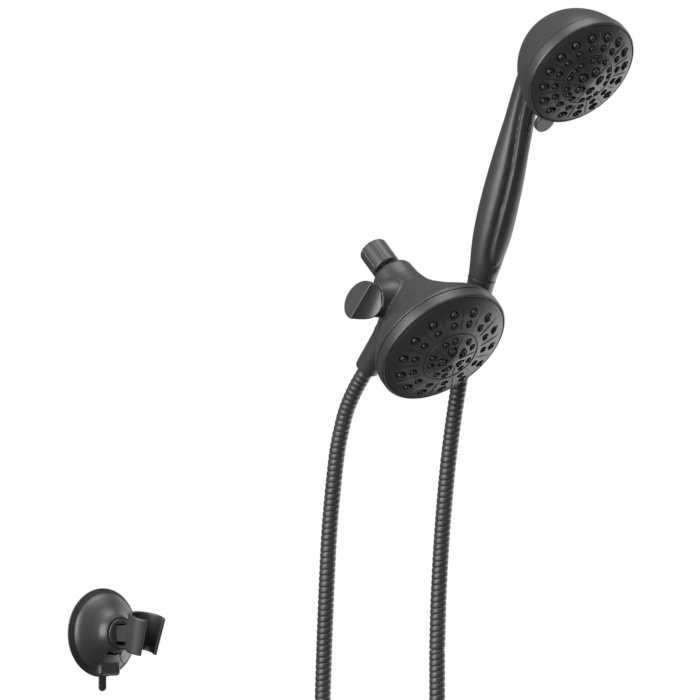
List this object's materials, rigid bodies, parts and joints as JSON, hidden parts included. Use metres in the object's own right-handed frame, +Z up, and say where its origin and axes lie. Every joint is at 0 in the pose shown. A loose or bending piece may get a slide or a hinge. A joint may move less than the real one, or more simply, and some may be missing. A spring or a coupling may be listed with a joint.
{
  "type": "dual shower head with handset",
  "caption": "Matt black fixed shower head with a diverter, a handset docked at its side on a hanging hose, and a suction wall bracket.",
  "frame": {"origin": "centre of the inlet collar's open end, where the wall pipe screws in", "axes": "+Z up, +Y towards the wall, spray towards -Y, +X towards the docked handset"},
  "size_m": [0.3672, 0.3788, 0.9737],
  "materials": {
    "black_finish": "satin black paint",
    "knob_black": "smooth satin black",
    "face_plastic": "fine matt black",
    "black_rubber": "matt",
    "hose_black": "satin black coat over a spiral metal strip",
    "brass": "machined",
    "steel": "machined",
    "white_plastic": "moulded",
    "grey_plastic": "moulded"
  },
  "bodies": {
    "wall_side": {"inlet_collar": "black_finish", "inlet_washer": "black_rubber", "filter_screen": "steel", "flow_restrictor": "white_plastic", "ball_stem": "brass", "suction_cup": "black_rubber", "bracket_cover": "black_finish"},
    "joint_liner": {"ball_liner": "white_plastic"},
    "shower_body": {"housing": "black_finish", "ball_retainer": "black_finish", "ball_seat": "white_plastic", "seat_seal": "black_rubber", "outlet_nipple": "brass", "outlet_washer": "black_rubber", "outlet_hose_end": "brass", "dock": "black_finish", "dock_screw": "steel", "head_face_plate": "face_plastic", "head_nozzle_mat": "black_rubber", "head_centre_plate": "face_plastic", "head_centre_mat": "black_rubber", "head_water_plate": "grey_plastic", "head_gasket": "black_rubber", "hose_lower": "hose_black"},
    "head_selector": {"head_bezel": "black_finish", "head_selector_disc": "white_plastic"},
    "diverter": {"diverter_knob": "knob_black", "diverter_core": "brass", "core_oring": "black_rubber", "knob_screw": "steel"},
    "outlet_nut_body": {"outlet_nut": "black_finish"},
    "handset": {"handle_shell": "black_finish", "handset_nipple": "brass", "water_tube": "white_plastic", "handset_face_plate": "face_plastic", "handset_nozzle_mat": "black_rubber", "handset_centre_plate": "face_plastic", "handset_centre_mat": "black_rubber", "handset_water_plate": "grey_plastic", "handset_gasket": "black_rubber", "handset_washer": "black_rubber", "handset_hose_end": "brass", "hose_upper": "hose_black"},
    "handset_nut_body": {"handset_nut": "black_finish"},
    "handset_selector": {"handset_bezel": "black_finish", "handset_selector_disc": "white_plastic"},
    "cup_core": {"cup_stud": "steel", "lever_pin": "steel"},
    "lever": {"lock_lever": "black_finish"},
    "turret": {"clip_turret": "black_finish", "tilt_pin": "steel"},
    "clip_body": {"clip": "black_finish"}
  },
  "joints": [
    {"name": "head_pan", "type": "hinge", "parent": "wall_side", "child": "joint_liner", "pos_m": [0, -0.0317, -0.02755], "axis": [0, 0, 1], "range_deg": [-15, 15]},
    {"name": "head_tilt", "type": "hinge", "parent": "joint_liner", "child": "shower_body", "pos_m": [0, -0.0317, -0.02755], "axis": [1, 0, 0], "range_deg": [-12, 12]},
    {"name": "diverter_turn", "type": "hinge", "parent": "shower_body", "child": "diverter", "pos_m": [0, -0.05026, -0.04369], "axis": [1, 0, 0], "range_deg": [-60, 60]},
    {"name": "head_selector_turn", "type": "hinge", "parent": "shower_body", "child": "head_selector", "pos_m": [0, -0.09909, -0.08614], "axis": [0, -0.7547, -0.6561], "range_deg": [-40, 40]},
    {"name": "outlet_nut_turn", "type": "hinge", "parent": "shower_body", "child": "outlet_nut_body", "pos_m": [0, -0.00894, -0.08727], "axis": [0, 0.6561, -0.7547], "continuous": true},
    {"name": "handset_lift", "type": "slide", "parent": "shower_body", "child": "handset", "axis": [0, -0.342, 0.9397], "range_m": [0, 0.05]},
    {"name": "handset_nut_turn", "type": "hinge", "parent": "handset", "child": "handset_nut_body", "pos_m": [0.062, -0.079, -0.024], "axis": [0, -0.342, 0.9397], "continuous": true},
    {"name": "handset_selector_turn", "type": "hinge", "parent": "handset", "child": "handset_selector", "pos_m": [0.062, -0.21661, 0.1611], "axis": [0, -0.8141, -0.5807], "range_deg": [-25, 25]},
    {"name": "cup_pull", "type": "slide", "parent": "wall_side", "child": "cup_core", "axis": [0, 1, 0], "range_m": [0, 0.0016]},
    {"name": "lever_turn", "type": "hinge", "parent": "cup_core", "child": "lever", "pos_m": [-0.2095, 0.116, -0.3437], "axis": [-1, 0, 0], "range_deg": [0, 15]},
    {"name": "clip_swivel", "type": "hinge", "parent": "wall_side", "child": "turret", "pos_m": [-0.2095, 0.107, -0.3437], "axis": [0, -1, 0], "range_deg": [-60, 60]},
    {"name": "clip_tilt", "type": "hinge", "parent": "turret", "child": "clip_body", "pos_m": [-0.2095, 0.106, -0.3437], "axis": [1, 0, 0], "range_deg": [-5, 15]}
  ],
  "couplings": [
    {"joint": "cup_pull", "follows": "lever_turn", "m_per_rad": 0.0061115}
  ]
}
